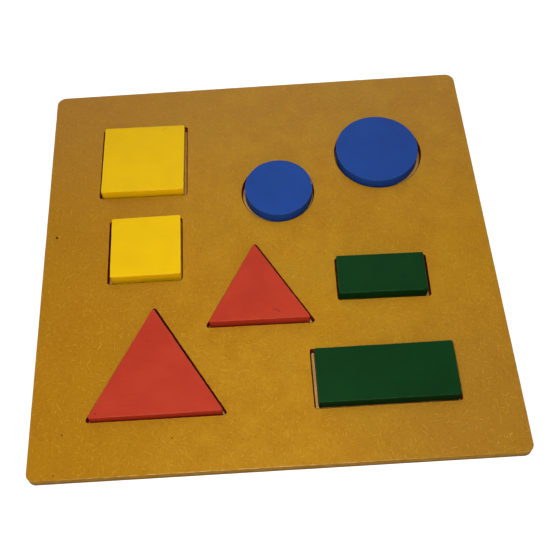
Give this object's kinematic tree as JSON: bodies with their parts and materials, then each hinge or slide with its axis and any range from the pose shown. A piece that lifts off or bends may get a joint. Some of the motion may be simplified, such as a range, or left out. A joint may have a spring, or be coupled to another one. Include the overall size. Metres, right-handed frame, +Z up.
{
  "type": "shape puzzle",
  "caption": "Square varnished fibreboard inset puzzle with loose painted squares, discs, triangles and rectangles, big and small, that lift out of fitted recesses.",
  "frame": {"origin": "under the middle of the board, on the surface that it lies on", "axes": "+Z up through the board, the way the blocks lift out; +X along the near edge to the right; +Y from the near edge, at the foot of the triangles, to the far edge"},
  "size_m": [0.3, 0.3, 0.012],
  "materials": {
    "varnished_board": "satin amber varnish on fibreboard",
    "raw_board": "raw fibreboard, matt",
    "yellow_paint": "satin yellow paint on fibreboard",
    "blue_paint": "satin blue paint on fibreboard",
    "red_paint": "satin red paint on fibreboard",
    "green_paint": "satin green paint on fibreboard"
  },
  "bodies": {
    "board": {"face_board": "varnished_board", "backing_board": "raw_board"},
    "big_yellow_square": {"big_yellow_square": "yellow_paint"},
    "small_yellow_square": {"small_yellow_square": "yellow_paint"},
    "big_blue_disc": {"big_blue_disc": "blue_paint"},
    "small_blue_disc": {"small_blue_disc": "blue_paint"},
    "big_red_triangle": {"big_red_triangle": "red_paint"},
    "small_red_triangle": {"small_red_triangle": "red_paint"},
    "big_green_rectangle": {"big_green_rectangle": "green_paint"},
    "small_green_rectangle": {"small_green_rectangle": "green_paint"}
  },
  "joints": [
    {"name": "big_yellow_square_lift", "type": "slide", "parent": "board", "child": "big_yellow_square", "axis": [0, 0, 1], "range_m": [0, 0.04]},
    {"name": "small_yellow_square_lift", "type": "slide", "parent": "board", "child": "small_yellow_square", "axis": [0, 0, 1], "range_m": [0, 0.04]},
    {"name": "big_blue_disc_lift", "type": "slide", "parent": "board", "child": "big_blue_disc", "axis": [0, 0, 1], "range_m": [0, 0.04]},
    {"name": "small_blue_disc_lift", "type": "slide", "parent": "board", "child": "small_blue_disc", "axis": [0, 0, 1], "range_m": [0, 0.04]},
    {"name": "big_red_triangle_lift", "type": "slide", "parent": "board", "child": "big_red_triangle", "axis": [0, 0, 1], "range_m": [0, 0.04]},
    {"name": "small_red_triangle_lift", "type": "slide", "parent": "board", "child": "small_red_triangle", "axis": [0, 0, 1], "range_m": [0, 0.04]},
    {"name": "big_green_rectangle_lift", "type": "slide", "parent": "board", "child": "big_green_rectangle", "axis": [0, 0, 1], "range_m": [0, 0.04]},
    {"name": "small_green_rectangle_lift", "type": "slide", "parent": "board", "child": "small_green_rectangle", "axis": [0, 0, 1], "range_m": [0, 0.04]}
  ]
}
